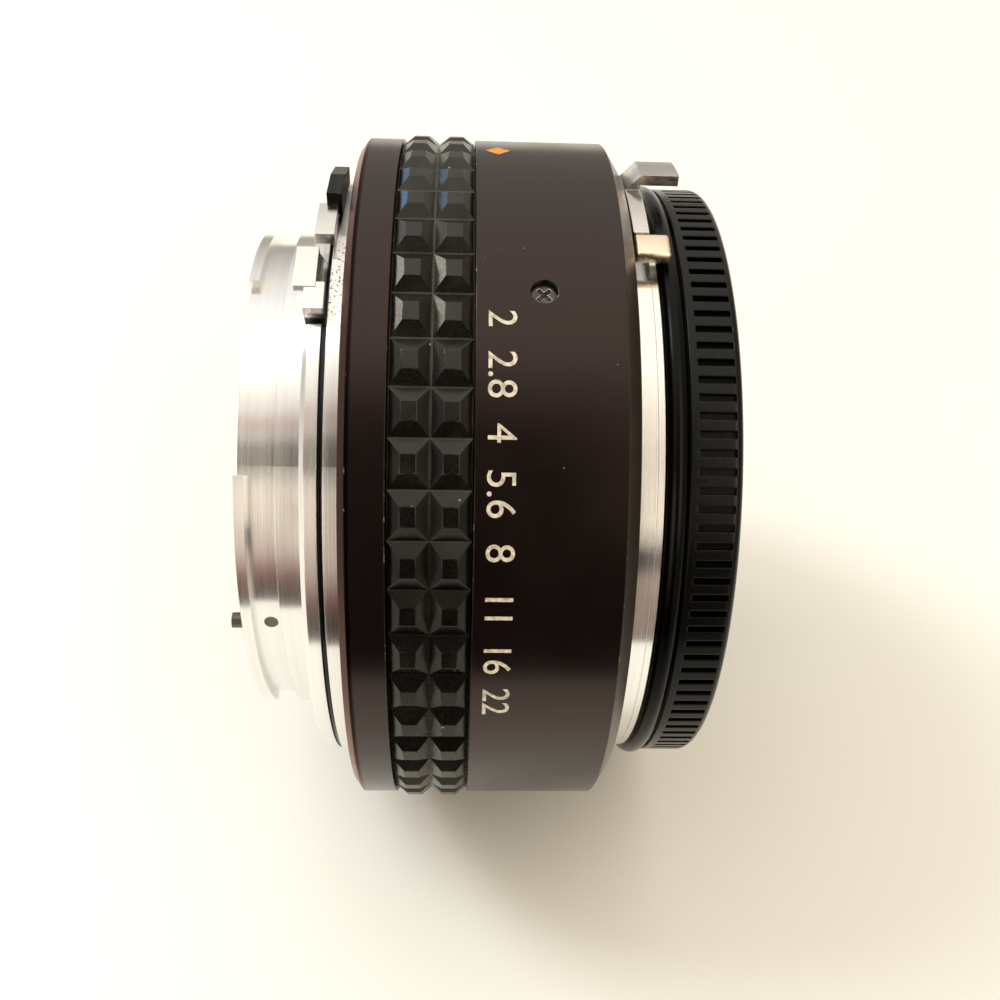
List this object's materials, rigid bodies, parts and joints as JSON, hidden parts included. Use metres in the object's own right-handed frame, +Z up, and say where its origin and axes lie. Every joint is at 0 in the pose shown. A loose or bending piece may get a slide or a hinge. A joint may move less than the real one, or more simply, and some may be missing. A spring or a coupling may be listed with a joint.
{
  "type": "camera teleconverter",
  "caption": "Short lens extender for a bayonet camera: plated flanges at both ends, black barrel with a pyramid rubber grip, turning aperture lugs and a slotted front cap.",
  "frame": {"origin": "centre of the camera flange, on the optical axis", "axes": "+X along the optical axis from the camera towards the lens, +Z up as the object lies on its side, +Y away from the viewer"},
  "size_m": [0.0423, 0.0646, 0.0646],
  "materials": {
    "satin_chrome": "satin plated brass, turned with fine rings",
    "bright_steel": "plain bright steel",
    "black_anodised": "satin black anodised aluminium",
    "grip_rubber": "matt moulded rubber",
    "black_oxide": "blackened steel",
    "dark_aluminium": "matt blackened aluminium",
    "light_aluminium": "turned aluminium",
    "spring_steel": "hard-drawn spring wire and strip",
    "optical_glass": "polished and coated",
    "plain_brass": "plain milled brass",
    "black_plastic": "moulded black plastic, semi-matt"
  },
  "bodies": {
    "housing": {"camera_mount": "satin_chrome", "camera_mount_screws": "bright_steel", "bayonet_stop_screw": "black_oxide", "rear_flange_ring": "satin_chrome", "rear_collar": "black_anodised", "rubber_grip": "grip_rubber", "main_barrel": "black_anodised", "barrel_screws": "black_oxide", "chassis": "dark_aluminium", "front_flange_ring": "satin_chrome", "lens_mount": "satin_chrome", "lens_mount_screws": "bright_steel", "lens_mount_springs": "spring_steel", "lens_cell": "dark_aluminium", "cell_set_screws": "black_oxide", "rear_baffle": "dark_aluminium", "rear_retaining_ring": "dark_aluminium", "rear_element": "optical_glass", "rear_spacer_ring": "dark_aluminium", "third_element": "optical_glass", "middle_spacer_ring": "dark_aluminium", "second_element": "optical_glass", "front_spacer_ring": "dark_aluminium", "front_element": "optical_glass", "front_retaining_ring": "dark_aluminium", "coupling_spring": "spring_steel", "stop_down_spring": "spring_steel", "lock_spring": "spring_steel"},
    "coupling": {"rear_coupling_sleeve": "light_aluminium", "rear_lug_plate": "bright_steel", "rear_black_lug": "black_plastic", "coupling_bars": "light_aluminium", "coupling_screws": "black_oxide", "front_coupling_ring": "light_aluminium", "front_lug": "bright_steel", "brass_follower": "plain_brass"},
    "stop_down": {"stop_down_ring": "light_aluminium", "stop_down_pin": "black_oxide", "stop_down_lever": "bright_steel"},
    "lens_release": {"lock_pin": "bright_steel", "release_knob": "black_anodised"},
    "cap": {"front_cap": "black_plastic"}
  },
  "joints": [
    {"name": "aperture_coupling", "type": "hinge", "parent": "housing", "child": "coupling", "pos_m": [0, 0, 0], "axis": [-1, 0, 0], "range_deg": [0, 55], "stiffness_Nm_per_rad": 0.02, "springref_deg": -17.19},
    {"name": "stop_down_turn", "type": "hinge", "parent": "housing", "child": "stop_down", "pos_m": [0, 0, 0], "axis": [-1, 0, 0], "range_deg": [0, 15], "stiffness_Nm_per_rad": 0.01, "springref_deg": -11.46},
    {"name": "lens_release_slide", "type": "slide", "parent": "housing", "child": "lens_release", "axis": [1, 0, 0], "range_m": [-0.0012, 0], "stiffness_N_per_m": 600, "springref_m": 0.001, "deforming": ["lock_spring"]},
    {"name": "cap_removal", "type": "slide", "parent": "housing", "child": "cap", "axis": [1, 0, 0], "range_m": [0, 0.03]}
  ]
}
